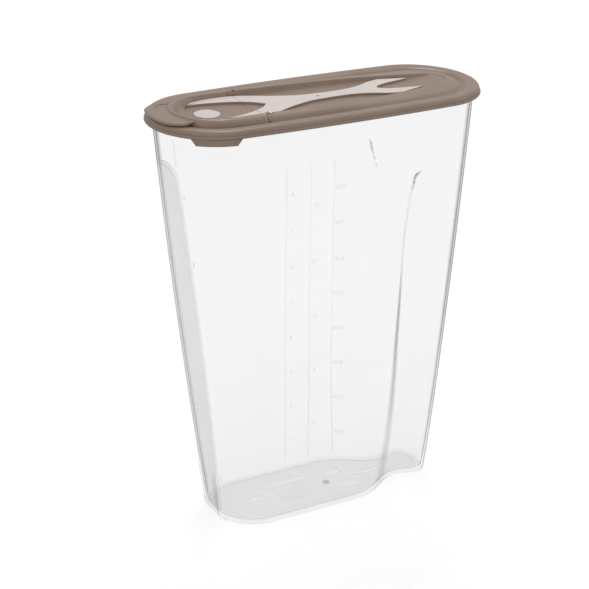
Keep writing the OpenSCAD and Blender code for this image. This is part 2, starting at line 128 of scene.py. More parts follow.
class LidSizes(bpy.types.PropertyGroup):
    """Sizes of the lid and its flap"""

    bulge: length("Side bulge", "Outward curve of the long sides", 1.8 * MM)
    shell: length("Shell", "Thickness of the shell", 1.5 * MM)
    foot_inset: length("Platform inset", "Inset of the platform's foot from the lip", 13.9 * MM)
    valley: length("Valley", "Height of the valley over the lip", 3.3 * MM)
    crest_front: length("Front crest", "Height of the crest over the lip at the spout", 8.4 * MM)
    crest_rear: length("Rear crest", "Height of the crest over the lip at the rear", 6.3 * MM)
    dish_front: length("Front dish radius", "Half the width of the dish at the spout", 26.6 * MM)
    dish_rear: length("Rear dish radius", "Half the width of the dish at its rear tip", 12 * MM)
    plug_depth: length("Plug depth", "Depth of the plug wall", 1.2 * MM)
    plug_gap: length("Plug clearance", "Clearance between plug wall and container", 0.6 * MM)
    tab_drop: length("Tab drop", "Drop of the lift tabs below the lip", 4.4 * MM)
    tab_width: length("Tab width", "Width of each lift tab", 35 * MM)
    gap: length("Gap", "Gap between the lid and its flap", 0.3 * MM)
    mouth: length("Mouth radius", "Half the width of the pouring mouth", 23 * MM)
    seal_depth: length("Seal depth", "Depth of the flap's sealing rim", 4.0 * MM)
    knuckle: length("Knuckle radius", "Radius of the hinge knuckles", 2.4 * MM)
    pin: length("Pin radius", "Radius of the hinge pins", 0.9 * MM)
    thumb: length("Thumb lip thickness", "Thickness of the thumb lip", 1.9 * MM)
    thumb_half: bpy.props.FloatProperty(
        name="Thumb lip half angle",
        description="Half the angle that the thumb lip spans",
        default=math.radians(40),
        subtype="ANGLE",
        unit="ROTATION",
    )


class Finishes(bpy.types.PropertyGroup):
    """Colours of the object's finishes"""

    clear: colour("Clear plastic", "Tint of the clear plastic", (0.62, 0.63, 0.64))
    taupe: colour("Lid plastic", "Colour of the lid's plastic", (0.335, 0.245, 0.19))
    cream: colour("Inlay plastic", "Colour of the pale inlay", (0.83, 0.745, 0.71))
    paper: colour("Label paper", "Colour of the label's paper", (0.9, 0.9, 0.88))
    floor: colour("Floor", "Colour of the studio floor", (0.55, 0.55, 0.55))


# Points on each round end and on each long side of an outline.
CAPS = 72
SIDES = 72


def ease(t):
    """Smooth step from 0 to 1."""
    u = np.clip(t, 0.0, 1.0)
    return u * u * (3 - 2 * u)


def mix(a, b, t):
    return a + (b - a) * t


def outline(rear, rear_r, front, front_r, power, bulge, caps=CAPS, sides=SIDES):
    """A closed outline, counter-clockwise, with a round rear end and a round front end."""
    cr, cf = rear - rear_r, front + front_r
    a = np.radians(np.linspace(-90, 90, caps + 1))
    b = np.radians(np.linspace(90, 270, caps + 1))
    s = np.arange(1, sides) / sides
    y = mix(front_r, rear_r, (1 - s) ** power) + bulge * 4 * s * (1 - s)
    side = np.stack([mix(cr, cf, s), y], 1)
    rear_cap = np.stack([cr + rear_r * np.cos(a), rear_r * np.sin(a)], 1)
    front_cap = np.stack([cf + front_r * np.cos(b), front_r * np.sin(b)], 1)
    return np.concatenate([rear_cap, side, front_cap, side[::-1] * [1, -1]])


def at_height(ring, z):
    """A flat ring lifted to z, which may be one number or one for each point."""
    return np.column_stack([ring[:, :2], np.broadcast_to(z, len(ring))])


def through(points, steps):
    """A smooth curve through points, with the given number of steps between two."""
    p = np.array(points, float)
    p = np.vstack([p[0], p, p[-1]])
    t = (np.arange(steps) / steps)[:, None]
    out = []
    for i in range(1, len(p) - 2):
        a, b, c, d = p[i - 1 : i + 3]
        square = (2 * a - 5 * b + 4 * c - d) * t**2
        cube = (3 * b - a - 3 * c + d) * t**3
        out.append((2 * b + (c - a) * t + square + cube) / 2)
    return np.vstack([*out, p[-2:-1]])


def medial(ring, rings, heights=None):
    """Rings that close a flat ring towards its middle line, the first one left out."""
    x = ring[:, 0]
    reach = np.abs(ring[:, 1]).max()
    low, high = x.min() + reach * 0.9, x.max() - reach * 0.9
    middle = np.clip(x, min(low, high), max(low, high))
    out = []
    for i in range(1, rings + 1):
        t = i / rings
        p = np.column_stack([mix(x, middle, t), ring[:, 1] * (1 - t)])
        out.append(at_height(p, ring[:, 2] if heights is None else heights(p)))
    return out


def round_ring(x, y, radius, z, steps):
    """A level circle of points."""
    a = np.linspace(0, 2 * math.pi, steps, endpoint=False)
    return at_height(np.column_stack([x + radius * np.cos(a), y + radius * np.sin(a)]), z)


def placed(name, data):
    """An object in the scene for a mesh, a light or a camera."""
    obj = bpy.data.objects.new(name, data)
    bpy.context.scene.collection.objects.link(obj)
    return obj


def new_object(name, verts, faces):
    """A mesh object in the scene, with doubled points merged and its faces turned outwards."""
    mesh = bpy.data.meshes.new(name)
    mesh.from_pydata([tuple(v) for v in verts], [], [tuple(f) for f in faces])
    bm = bmesh.new()
    bm.from_mesh(mesh)
    bmesh.ops.remove_doubles(bm, verts=bm.verts, dist=2e-6)
    bmesh.ops.dissolve_degenerate(bm, edges=bm.edges, dist=1e-6)
    bmesh.ops.triangulate(bm, faces=[f for f in bm.faces if len(f.verts) > 4], ngon_method="EAR_CLIP")
    bmesh.ops.recalc_face_normals(bm, faces=bm.faces)
    bm.to_mesh(mesh)
    bm.free()
    return placed(name, mesh)


def loft(name, rings, wrap=False, ends=False):
    """A mesh through rings of equal length. It wraps into a band, or gets flat ends, or stays open."""
    n, m = len(rings[0]), len(rings)
    faces = []
    for i in range(m if wrap else m - 1):
        a, b = i * n, ((i + 1) % m) * n
        faces += [(a + j, a + (j + 1) % n, b + (j + 1) % n, b + j) for j in range(n)]
    if ends:
        faces += [tuple(range(n))[::-1], tuple(range((m - 1) * n, m * n))]
    return new_object(name, np.vstack(rings), faces)


def prism(points, low, high):
    """An upright prism over an outline."""
    ring = np.array(points, float)
    return loft("prism", [at_height(ring, low), at_height(ring, high)], ends=True)


def block(low, high):
    """An upright box between two corners."""
    (x0, y0, z0), (x1, y1, z1) = low, high
    return prism([(x0, y0), (x1, y0), (x1, y1), (x0, y1)], z0, z1)


def rod(radius, y0, y1, side, steps=40):
    """A rod along the hinge line, from y0 out to y1 on one side."""
    a = np.linspace(0, 2 * math.pi, steps, endpoint=False)
    x, z = HINGE.x + radius * np.cos(a), HINGE.z + radius * np.sin(a)
    ring = np.column_stack([x, np.zeros(steps), z])
    return loft("rod", [ring + [0, side * y, 0] for y in (y0, y1)], ends=True)


def combine(obj, other, operation):
    """Joins, cuts or crosses obj with another mesh, which is used up."""
    modifier = obj.modifiers.new("combine", "BOOLEAN")
    modifier.object, modifier.operation, modifier.solver = other, operation, "EXACT"
    graph = bpy.context.evaluated_depsgraph_get()
    mesh = bpy.data.meshes.new_from_object(obj.evaluated_get(graph))
    obj.modifiers.clear()
    obj.data = mesh
    bpy.data.objects.remove(other)
    return obj


def cut(obj, *others):
    for other in others:
        combine(obj, other, "DIFFERENCE")
    return obj


def fuse(obj, *others):
    for other in others:
        combine(obj, other, "UNION")
    return obj


def finish_piece(obj, body, material, nodes=(), sharp=35.0):
    """Shades a piece, gives it its material, ties it to its body and hides its CAD nodes."""
    obj.data.shade_smooth()
    obj.data.set_sharp_from_angle(angle=math.radians(sharp))
    if not obj.data.materials:
        obj.data.materials.append(material)
    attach(obj, body)
    if nodes:
        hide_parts(*nodes)


class Nodes:
    """A short way to write the node tree of a material or a world."""

    def __init__(self, owner, output="ShaderNodeOutputMaterial"):
        self.owner = owner
        owner.use_nodes = True
        self.tree = owner.node_tree
        self.tree.nodes.clear()
        self.out = self.add(output)

    def add(self, kind, **inputs):
        node = self.tree.nodes.new(kind)
        for key, value in inputs.items():
            node.inputs[key.replace("_", " ")].default_value = value
        return node

    def link(self, source, output, target, socket):
        self.tree.links.new(source.outputs[output], target.inputs[socket])

    def noise(self, scale, detail=3.0, rough=0.5):
        place = self.add("ShaderNodeTexCoord")
        node = self.add("ShaderNodeTexNoise", Scale=scale, Detail=detail, Roughness=rough)
        self.link(place, "Object", node, "Vector")
        return node

    def ranged(self, source, output, low, high, start=0.0, end=1.0):
        node = self.add("ShaderNodeMapRange")
        limits = {"From Min": start, "From Max": end, "To Min": low, "To Max": high}
        for key, value in limits.items():
            node.inputs[key].default_value = value
        self.link(source, output, node, "Value")
        return node

    def tinted(self, source, low, high):
        node = self.add("ShaderNodeMix")
        node.data_type = "RGBA"
        node.inputs[6].default_value = (*low, 1)
        node.inputs[7].default_value = (*high, 1)
        self.link(source, "Result", node, 0)
        return node

    def bump(self, source, distance, strength):
        node = self.add("ShaderNodeBump", Distance=distance, Strength=strength)
        self.link(source, 0, node, "Height")
        return node


def shade(rgb, factor):
    return tuple(min(1.0, c * factor) for c in rgb)


def moulded_plastic(name, rgb, grain, roughness, depth, spread=0.05):
    """Opaque moulded plastic with a spark-eroded grain, soft flow marks and uneven gloss."""
    n = Nodes(bpy.data.materials.new(name))
    shader = n.add("ShaderNodeBsdfPrincipled", IOR=1.49)
    fine = n.noise(grain, 2.0, 0.6)
    flow = n.noise(38.0, 4.0, 0.55)
    tone = n.ranged(flow, "Fac", 0.0, 1.0, 0.35, 0.65)
    tint = n.tinted(tone, shade(rgb, 1 - spread), shade(rgb, 1 + spread))
    n.link(tint, 2, shader, "Base Color")
    gloss = n.ranged(flow, "Fac", roughness - 0.05, roughness + 0.06, 0.3, 0.7)
    n.link(gloss, "Result", shader, "Roughness")
    relief = n.bump(fine, depth, 0.35)
    n.link(relief, "Normal", shader, "Normal")
    n.link(shader, 0, n.out, 0)


def shine_through(shader, strength):
    """A small glow for the table's light that comes through a thin sheet."""
    shader.inputs["Emission Color"].default_value = (1.0, 1.0, 1.0, 1.0)
    shader.inputs["Emission Strength"].default_value = strength


def clear_plastic(name, rgb, flat_alpha, edge_alpha, line_start=0.62, through_light=0.0):
    """Clear polypropylene: faintly milky, with a dark line where the wall is seen edge on."""
    n = Nodes(bpy.data.materials.new(name))
    shader = n.add("ShaderNodeBsdfPrincipled", IOR=1.3, Roughness=0.28)
    facing = n.add("ShaderNodeLayerWeight", Blend=0.5)
    line = n.ranged(facing, "Facing", 0.0, 1.0, line_start, 0.97)
    line.interpolation_type = "SMOOTHSTEP"
    haze = n.noise(14.0, 3.0, 0.5)
    uneven = n.ranged(haze, "Fac", 0.93, 1.07, 0.3, 0.7)
    dense = n.ranged(line, "Result", flat_alpha, edge_alpha)
    product = n.add("ShaderNodeMath")
    product.operation = "MULTIPLY"
    n.link(uneven, "Result", product, 0)
    n.link(dense, "Result", product, 1)
    n.link(product, 0, shader, "Alpha")
    n.link(n.tinted(line, rgb, shade(rgb, 0.2)), 2, shader, "Base Color")
    n.link(n.bump(n.noise(70.0, 2.0, 0.5), 0.0002, 0.08), "Normal", shader, "Normal")
    # An optional painted glow for light that comes through the sheet.
    shine_through(shader, through_light)
    n.link(shader, 0, n.out, 0)


def label_paper(rgb):
    """Matt paper with fibres and faint creases."""
    n = Nodes(bpy.data.materials.new("label_paper"))
    shader = n.add("ShaderNodeBsdfPrincipled", Roughness=0.85)
    fibre = n.noise(2600.0, 4.0, 0.7)
    crease = n.noise(55.0, 2.0, 0.5)
    tone = n.ranged(crease, "Fac", 0.0, 1.0, 0.3, 0.7)
    n.link(n.tinted(tone, shade(rgb, 0.95), rgb), 2, shader, "Base Color")
    n.link(n.bump(fibre, 0.00004, 0.4), "Normal", shader, "Normal")
    # A painted glow for the table's light coming through the paper.
    shine_through(shader, 0.3)
    n.link(shader, 0, n.out, 0)


def finishes():
    """The object's materials, made once."""
    f = bpy.context.scene.container_finishes
    made = bpy.data.materials
    if "clear_shell" not in made:
        clear_plastic("clear_shell", tuple(f.clear), 0.055, 0.62)
        clear_plastic("frosted_panel", shade(tuple(f.clear), 0.95), 0.2, 0.5, 0.9)
        # The floor's copy is milkier and painted lighter, to offset the shade that falls on the base.
        clear_plastic("clear_floor_painted_light", shade(tuple(f.clear), 1.05), 0.11, 0.5, 0.9)
        clear_plastic("clear_marks", shade(tuple(f.clear), 0.7), 0.07, 0.2)
        # The pads are tinted white and glow: painted light for the table's light coming up through the
        # base.
        clear_plastic("clear_pads", (0.95, 0.95, 0.95), 0.3, 0.5, 0.9, 0.55)
        moulded_plastic("lid_plastic", tuple(f.taupe), 1500.0, 0.3, 0.00002)
        moulded_plastic("inlay_plastic", tuple(f.cream), 1900.0, 0.5, 0.00002, 0.02)
        label_paper(tuple(f.paper))
    return made


def lid_b():
    """Half the lid's width before its long sides swell."""
    return LID_HIGH.y - bpy.context.scene.lid_sizes.bulge


def grip_recess(x, z):
    """Depth of the hand recess at places x of the outline at height z."""
    s = bpy.context.scene.container_sizes
    spring = s.grip_top - s.grip_arch
    k = min(1.0, z / spring)
    depth = mix(s.grip_depth, s.grip_top_depth, k)
    front_run = s.grip_edge + (s.grip_front - s.grip_edge) * (1 - k) ** 2.2
    back_again = 4 * MM * max(0.0, (k - 0.8) / 0.2) ** 2
    front = mix(s.grip_x, s.grip_x - 16 * MM, float(ease(1.1 * k))) + back_again
    rear = s.grip_x - 4 * MM * k
    rear_run = mix(s.grip_rear, s.grip_rear * 0.85, k)
    ahead = np.clip((front - x) / front_run, 0, 1)
    behind = np.clip((x - rear) / rear_run, 0, 1)
    steep = mix(4.0, 2.0, min(1.0, 2 * k))
    flank = np.cos(ahead * math.pi / 2) ** steep * np.cos(behind * math.pi / 2) ** 2
    middle = s.grip_x - 7 * MM
    off = np.abs(x - middle)
    roof = np.where(
        off < s.grip_arch,
        spring + np.sqrt(np.maximum(0, s.grip_arch**2 - off**2)),
        spring - (off - s.grip_arch) * np.where(x < middle, 3.5, 2.5),
    )
    soft = 2.5 * MM + np.where(x > middle, np.maximum(0, off - s.grip_arch), 0) * 1.5
    return depth * flank * ease((roof - z) / soft)


def container_ring(z, inset=0.0, sides=SIDES):
    """The container's outline at height z, drawn in by an inset."""
    s = bpy.context.scene.container_sizes
    k = z / LIP_Z
    bow = s.bow * 4 * k * (1 - k)
    half = mix(s.base_wid / 2, lid_b() - s.side_over, k) + bow - inset
    top = LID_HIGH.x - s.end_over
    rear = mix(s.base_len / 2 + s.base_shift, top, k) + bow / 2 - inset
    front = mix(s.base_shift - s.base_len / 2, -top, k) - bow + inset
    x, y = outline(rear, half, front, half, 1, 0, CAPS, sides).T
    drawn = np.abs(y) - grip_recess(x, z) * np.minimum(1, np.abs(y) / (12 * MM))
    return at_height(np.column_stack([x, np.copysign(np.maximum(0, drawn), y)]), z)


def solid(name, rings, steps=8, low=None, high=None):
    """A closed mesh through rings, closed at both ends towards their middle line."""
    under = medial(rings[0], steps, low)[::-1]
    over = medial(rings[-1], steps, high)
    return loft(name, [*under, *rings, *over])


def sweep_prism(profile, origin, u, v, w):
    """A prism with a flat profile in the directions u and v, drawn out along w."""
    u, v, w, origin = (np.array(a, float) for a in (u, v, w, origin))
    ring = np.array([origin + p[0] * u + p[1] * v for p in profile])
    return loft("sweep", [ring, ring + w], ends=True)


def panel_plane(back):
    """A point of the front panel, set back by a depth, with its normal and its upward direction."""
    s = bpy.context.scene.container_sizes
    tilt = math.atan2(LID_HIGH.x - s.end_over + s.base_shift - s.base_len / 2, LIP_Z)
    origin = np.array([s.base_shift - s.base_len / 2 + s.panel_cut + back, 0, 0])
    out = np.array([math.cos(tilt), 0, math.sin(tilt)])
    return origin, out, np.array([-math.sin(tilt), 0, math.cos(tilt)])


def panel_prism(back):
    """The prism that cuts the flat front panel, set back by a depth."""
    s = bpy.context.scene.container_sizes
    origin, out, up = panel_plane(back)
    r = s.panel_half + back
    a = np.linspace(0, math.pi, 65)
    top = s.panel_top - s.panel_half
    profile = [(-r, -20 * MM), (r, -20 * MM), *zip(r * np.cos(a), top + r * np.sin(a))]
    return sweep_prism(profile, origin - 60 * MM * out, (0, 1, 0), up, 60 * MM * out)


def wall_heights():
    """Heights of the wall's rings, close together round the top of the hand recess."""
    s = bpy.context.scene.container_sizes
    fine = np.linspace(s.grip_top - 55 * MM, s.grip_top + 2 * MM, 44)
    return [*np.linspace(3.5 * MM, fine[0], 34)[:-1], *fine, 275 * MM, LIP_Z - 6 * MM]


# Points on each long side of the container's own outline.
WALL_SIDES = 150


def container_shell():
    """The clear container: a thin wall with its panel, recesses, lugs, rim and foot."""
    s = bpy.context.scene.container_sizes

    def ring(z, inset=0.0):
        return container_ring(z, inset, WALL_SIDES)

    top, bead, proud = BODY_HIGH.z, s.rim_bead_h, s.rim_bead
    foot = [(0, 1.6 * MM), (0.12 * MM, 1.1 * MM), (0.8 * MM, 0.4 * MM), (1.9 * MM, 0.1 * MM)]
    rim = [(bead + proud, 0), (bead + 0.1 * MM, proud * 0.85), (bead - 0.3 * MM, proud)]
    rim += [(0.35 * MM, proud), (0, proud * 0.3)]
    outer = [ring(z, inset) for z, inset in foot] + [ring(z) for z in wall_heights()]
    outer += [ring(top - drop, -out) for drop, out in rim]
    shell = solid("container_shell", outer)
    cut(shell, panel_prism(0))
    for side in (-1, 1):
        fuse(shell, lug(side))
    floor = s.floor + s.foot_h
    bottom = [(0, 2.4 * MM), (0.35 * MM, 1.3 * MM), (1.2 * MM, 0.6 * MM), (2.2 * MM, 0.15 * MM)]
    inner = [ring(floor + z, s.wall + inset) for z, inset in bottom]
    inner += [ring(z, s.wall) for z in wall_heights()[1:]]
    inner += [ring(top + 1 * MM, s.wall)]
    hollow = solid("hollow", inner)
    cut(hollow, panel_prism(s.wall))
    foot_ring = ring(0, s.foot_w)
    cut(shell, hollow, solid("foot", [at_height(foot_ring, -1 * MM), at_height(foot_ring, s.foot_h)]))
    paint_shell(shell)
    return shell


def paint_shell(shell):
    """Gives the flat front panel its frosted finish, and the floor a milkier copy of the clear finish
    that is painted lighter against the shade on the base.
    """
    s = bpy.context.scene.container_sizes
    for name in ("clear_shell", "frosted_panel", "clear_floor_painted_light"):
        shell.data.materials.append(finishes()[name])
    planes = [panel_plane(back)[:2] for back in (0, s.wall)]
    for face in shell.data.polygons:
        centre = np.array(face.center)
        face.material_index = 0
        if any(abs(np.dot(centre - origin, out)) < 0.03 * MM for origin, out in planes):
            face.material_index = 1
        elif abs(face.normal.z) > 0.9 and centre[2] < 4 * MM:
            face.material_index = 2


# Slope of the lugs' outer sides towards the front, as x for each z.
LUG_LEAN = -0.1367


def lug(side):
    """One stacking lug at a lower corner of the front panel."""
    s = bpy.context.scene.container_sizes
    heights = np.linspace(0, 70 * MM, 12)
    skin = solid("lug", [container_ring(z, -s.lug_t * min(1, 0.3 + z / (8 * MM))) for z in heights])
    inner = (-1 * MM, *heights[1:-1], 71 * MM)
    cut(skin, solid("core", [container_ring(z, s.wall / 2) for z in inner]))
    half_wid = s.base_wid / 2
    corner = math.sqrt(half_wid**2 - (half_wid - s.panel_cut) ** 2) + s.lug_w * 0.3
    a = np.linspace(0, math.pi, 17)
    half = s.lug_w / 2
    profile = [(-half, 0), (half, 0), *zip(half * np.cos(a), s.lug_h - half + half * np.sin(a))]
    origin = (s.base_shift - s.base_len / 2 - s.lug_t / 2 - 4 * MM, side * corner, 0)
    room = sweep_prism(profile, origin, (0, 1, 0), (LUG_LEAN, 0, 1), (13 * MM, 0, 0))
    return combine(skin, room, "INTERSECT")


def wall_y(x, z):
    """Half the outside width of the container at places x and heights z."""
    out = []
    for px, pz in zip(x, z):
        ring = container_ring(pz)
        rear_first = ring[CAPS : CAPS + SIDES + 1]
        out.append(np.interp(-px, -rear_first[:, 0], rear_first[:, 1]))
    return np.array(out)


def on_far_wall(name, flat, proud):
    """Wraps a flat mesh, drawn in x and z, round the far wall and gives it a thickness."""
    bm = bmesh.new()
    bm.from_mesh(flat)
    faces = bm.faces[:]
    made = bmesh.ops.extrude_face_region(bm, geom=faces)
    raised = {v for v in made["geom"] if isinstance(v, bmesh.types.BMVert)}
    verts = bm.verts[:]
    width = wall_y([v.co.x for v in verts], [v.co.z for v in verts])
    for v, y in zip(verts, width):
        v.co.y = y + (proud if v in raised else -0.02 * MM)
    bmesh.ops.recalc_face_normals(bm, faces=bm.faces)
    mesh = bpy.data.meshes.new(name)
    bm.to_mesh(mesh)
    bm.free()
    return placed(name, mesh)


def bar_mesh(bars):
    """A flat mesh of upright and level bars, each given by its corners and its count of parts."""
    verts, faces = [], []
    for x0, z0, x1, z1, parts in bars:
        first = len(verts)
        for i in range(parts + 1):
            z = mix(z0, z1, i / parts)
            verts += [(x0, 0, z), (x1, 0, z)]
        faces += [(a, a + 1, a + 3, a + 2) for a in range(first, first + 2 * parts, 2)]
    mesh = bpy.data.meshes.new("bars")
    mesh.from_pydata(verts, [], faces)
    return mesh


def number_mesh(value, x, z, height):
    """A plain number as a flat mesh that reads from outside the far wall."""
    curve = bpy.data.curves.new("number", "FONT")
    curve.body, curve.size, curve.align_x, curve.align_y = str(value), height, "CENTER", "CENTER"
    curve.resolution_u = 3
    obj = bpy.data.objects.new("number", curve)
    mesh = bpy.data.meshes.new_from_object(obj)
    turn = Matrix(((-1, 0, 0, x), (0, 0, 1, 0), (0, 1, 0, z), (0, 0, 0, 1)))
    mesh.transform(turn)
    bpy.data.objects.remove(obj)
    return mesh


# Place along the wall, first number, step, lowest and highest height (both in millimetres),
# count of numbers, and parts between two numbers. The numbers are guessed.
SCALES = (
    (2.0, 1, 1, 5.0, 238.0, 8, 4),
    (22.5, 4, 4, 5.0, 238.0, 5, 6),
    (42.0, 100, 100, 5.0, 238.0, 8, 5),
)


def join_meshes(name, meshes):
    """One mesh out of several."""
    bm = bmesh.new()
    for mesh in meshes:
        bm.from_mesh(mesh)
    joined = bpy.data.meshes.new(name)
    bm.to_mesh(joined)
    bm.free()
    return joined


def profile_curve(points, steps=5):
    """Pairs of numbers smoothed into a curve."""
    return [tuple(p) for p in through([(a, b) for a, b in points], steps)]


# Height of the rim's bead over the lip, in millimetres.
LID_BEAD = 5.4
# The crest falls from its front height to its rear height over this run.
CREST_START, CREST_FADE = -95 * MM, 185 * MM
# The front bowl's wall narrows to the width of its edge over this run.
BOWL_START, BOWL_FADE, BOWL_EDGE = -105 * MM, 35 * MM, 1.3 * MM
# The floor rises behind the inlay, up to a step below the crest.
RAMP_START, RAMP_STEP = 80 * MM, 0.6 * MM
# Power by which the dish narrows to the rear.
DISH_TAPER = 3.7


class LidShape:
    """The rings that the lid and its flap share."""

    def __init__(self):
        s = bpy.context.scene.lid_sizes
        c = bpy.context.scene.container_sizes
        self.s, self.c, self.b = s, c, lid_b()
        self.floor = INLAY_LOW.z
        self.foot = LIP_Z + s.valley
        self.deck = self.foot - s.shell - s.gap
        self.front = LID_LOW.x + s.foot_inset + 2.6 * MM
        self.rear = LID_HIGH.x - s.foot_inset - 8 * MM
        self.bowl = 7.5 * MM
        self.knuckle_in = s.dish_front - 1.4 * MM
        self.knuckle_out = self.knuckle_in + 3.2 * MM
        self.tongue_in = self.knuckle_out + s.gap
        self.tongue_out = s.dish_front + 7.4 * MM
        self.ridge = HINGE.x + s.knuckle + s.gap
        slope = profile_curve([(0, 0), (0.2, 0.57), (0.5, 0.84), (0.8, 0.97), (1, 1)])
        wall = profile_curve([(0, 0), (0.3, 0.12), (0.75, 0.8), (1, 1)])
        self.top = [self.slope_ring(t, f) for t, f in slope]
        self.top += [self.wall_ring(t, d) for t, d in wall[1:]]
        under = [(1.15, 1), (0.9, 1), (-0.2, 0.25)]
        self.under = [self.wall_ring(t, d, s.shell) for t, d in under]
        self.under += [self.slope_ring(0.6, 0.45)]

    def lid_ring(self, inset, z=0.0):
        b = self.b - inset
        flat = outline(LID_HIGH.x - inset, b, LID_LOW.x + inset, b, 1, self.s.bulge)
        return at_height(flat, z)

    def crest(self, x):
        fall = ease((x - CREST_START) / CREST_FADE)
        return LIP_Z + mix(self.s.crest_front, self.s.crest_rear, fall)

    def dish_ring(self, inset):
        rear_r = max(0.4 * MM, self.s.dish_rear - inset)
        front_r = self.s.dish_front - inset
        return outline(self.rear - inset, rear_r, self.front + inset, front_r, DISH_TAPER, 0)

    def slope_ring(self, t, f):
        p = mix(self.lid_ring(self.s.foot_inset)[:, :2], self.dish_ring(0), t)
        return at_height(p, mix(self.foot, self.crest(p[:, 0]), f))

    def floor_at(self, x):
        rise = ease((x - RAMP_START) / (self.rear - RAMP_START))
        return mix(self.floor, self.crest(x) - RAMP_STEP, rise)

    def wall_ring(self, t, down, drop=0.0):
        top, foot = self.dish_ring(0), self.dish_ring(self.bowl)
        run = mix(1.0, BOWL_EDGE / self.bowl, ease((top[:, :1] - BOWL_START) / BOWL_FADE))
        p = mix(top, foot, t * run)
        return at_height(p, mix(self.crest(p[:, 0]), self.floor_at(p[:, 0]), down) - drop)

    def over(self, p):
        return self.floor_at(p[:, 0])

    def below(self, p):
        return self.floor_at(p[:, 0]) - self.s.shell

    def flat_under(self, p):
        return np.full(len(p), self.foot - self.s.shell)

    def platform(self):
        """The platform as a thin shell."""
        edge = self.foot - self.s.shell
        feet = [at_height(self.slope_ring(t, 0), edge) for t in (0.35, 0)]
        return solid("platform", [*self.under, *feet, *self.top], 10, self.below, self.over)

    def block(self):
        """The platform without its hollow."""
        foot = at_height(self.slope_ring(0, 0), self.foot - self.s.shell)
        return solid("block", [foot, *self.top], 10, self.flat_under, self.over)

    def rim_over(self):
        """Inset and height of the rim's section, from its edge over the bead to the valley."""
        s = self.s
        bead = LID_BEAD
        valley = s.valley / MM
        edge = [(0.12, -0.0), (0, 0.12), (0, 1.0), (0.12, 1.2), (0.75, 1.5), (0.9, 1.75)]
        arch = [(0.9, 1.75), (0.85, bead * 0.56), (1.8, bead * 0.87), (4, bead), (8, bead - 0.2)]
        crown = profile_curve([*arch, (10.6, mix(valley, bead, 0.55)), (12.2, valley)])
        return [(a * MM, LIP_Z + h * MM) for a, h in [*edge, *crown[1:]]]

    def rim_under(self):
        """Rings of the rim's underside, from the platform's foot out to the lip."""
        s, c = self.s, self.c
        t, v = s.shell, s.valley
        inner = ((11.8 * MM, v - t), (10.7 * MM, v - t + 0.8 * MM))
        rings = [self.lid_ring(a, LIP_Z + h) for a, h in inner]
        seat = BODY_HIGH.z - LIP_Z + 0.2 * MM
        bead = LID_BEAD * MM
        face = c.wall + s.plug_gap
        plug = [(face + t, bead - t - 0.2 * MM), (face + t, -s.plug_depth)]
        plug += [(face, -s.plug_depth), (face, seat)]
        rings += [at_height(container_ring(LIP_Z + min(0, h), a), LIP_Z + h) for a, h in plug]
        skirt = c.side_over - c.rim_bead - s.gap
        skirts = ((skirt + 0.1 * MM, seat), (skirt, seat - 0.8 * MM), (skirt, 0))
        return rings + [self.lid_ring(a, LIP_Z + h) for a, h in skirts]

    def mouth(self, inset, low, high):
        """The outline of the pouring mouth and two heights, for a prism."""
        a = np.linspace(math.pi / 2, 3 * math.pi / 2, 65)
        r = self.s.mouth - inset
        x0, x1 = self.front + self.s.dish_front, HINGE.x - 6 * MM - inset
        return [*zip(x0 + r * np.cos(a), r * np.sin(a)), (x1, -r), (x1, r)], low, high

    def front_part(self, ring, x, low, high):
        """A prism over the part of a ring in front of x."""
        keep = [i for i in range(len(ring)) if ring[i, 0] < x]
        points = ring[keep, :2]
        start = points[0].copy(), points[-1].copy()
        start[0][0] = start[1][0] = x
        return prism([start[0], *points, start[1]], low, high)


# Half width, lower end and upper end of the blocks that part the lid from its flap.
CUT_SIDE, CUT_LOW, CUT_HIGH = 0.1, 0.29, 0.32


def slab(x0, x1, high=CUT_HIGH):
    """A block across the whole lid, between two places along it."""
    return block((x0, -CUT_SIDE, CUT_LOW), (x1, CUT_SIDE, high))


def lid_piece():
    """The lid without its flap, as one mesh."""
    h = LidShape()
    s = h.s
    edge = h.foot - s.shell
    foot = at_height(h.slope_ring(0.35, 0), edge)
    rim = [h.lid_ring(a, z) for a, z in h.rim_over()]
    rings = [*h.under, foot, *h.rim_under(), *rim, *h.top]
    lid = solid("lid_shell", rings, 10, h.below, h.over)
    fuse(lid, combine(h.block(), slab(HINGE.x + s.gap / 2, h.ridge + 2 * MM), "INTERSECT"))
    seat = h.lid_ring(s.foot_inset - s.gap)
    cut(lid, h.front_part(seat, HINGE.x + s.gap / 2, h.deck, CUT_HIGH))
    for side in (-1, 1):
        cut(lid, rod(s.knuckle + s.gap, h.knuckle_in - s.gap, h.tongue_in, side))
        lean = 3 * MM * math.tan(math.radians(12))
        above = HINGE.z + 3 * MM
        wedge = [(HINGE.x - MM, HINGE.z), (h.ridge, HINGE.z)]
        wedge += [(h.ridge + lean, above), (HINGE.x - MM, above)]
        width = (0, side * (h.tongue_in - h.knuckle_in + s.gap), 0)
        cut(lid, sweep_prism(wedge, (0, side * (h.knuckle_in - s.gap), 0), (1, 0, 0), (0, 0, 1), width))
        y = sorted((side * h.tongue_in, side * (h.b - s.foot_inset + s.bulge * 0.75)))
        cut(lid, block((HINGE.x - MM, y[0], h.foot), (h.ridge, y[1], CUT_HIGH)))
        y = sorted((side * h.tongue_in, side * h.tongue_out))
        root = block((HINGE.x, y[0], edge), (h.ridge + MM, y[1], CUT_HIGH))
        tongue = fuse(rod(s.knuckle, h.tongue_in, h.tongue_out, side), root)
        fuse(lid, combine(tongue, h.block(), "INTERSECT"))
        cut(lid, rod(s.pin + 0.05 * MM, h.tongue_in - MM, h.knuckle_out + 2.5 * MM, side))
        fuse(lid, lift_tab(h, side))
    inside = container_ring(LIP_Z, h.c.wall + s.plug_gap + s.shell / 2)
    ledge = h.front_part(inside, HINGE.x + 2 * MM, h.deck - s.shell, h.deck)
    cut(ledge, prism(*h.mouth(0, h.deck - 3 * MM, h.deck + MM)))
    return fuse(lid, ledge)


# Place of the lift tabs round the lid's front end, in degrees from its middle.
TAB_PLACE = 66


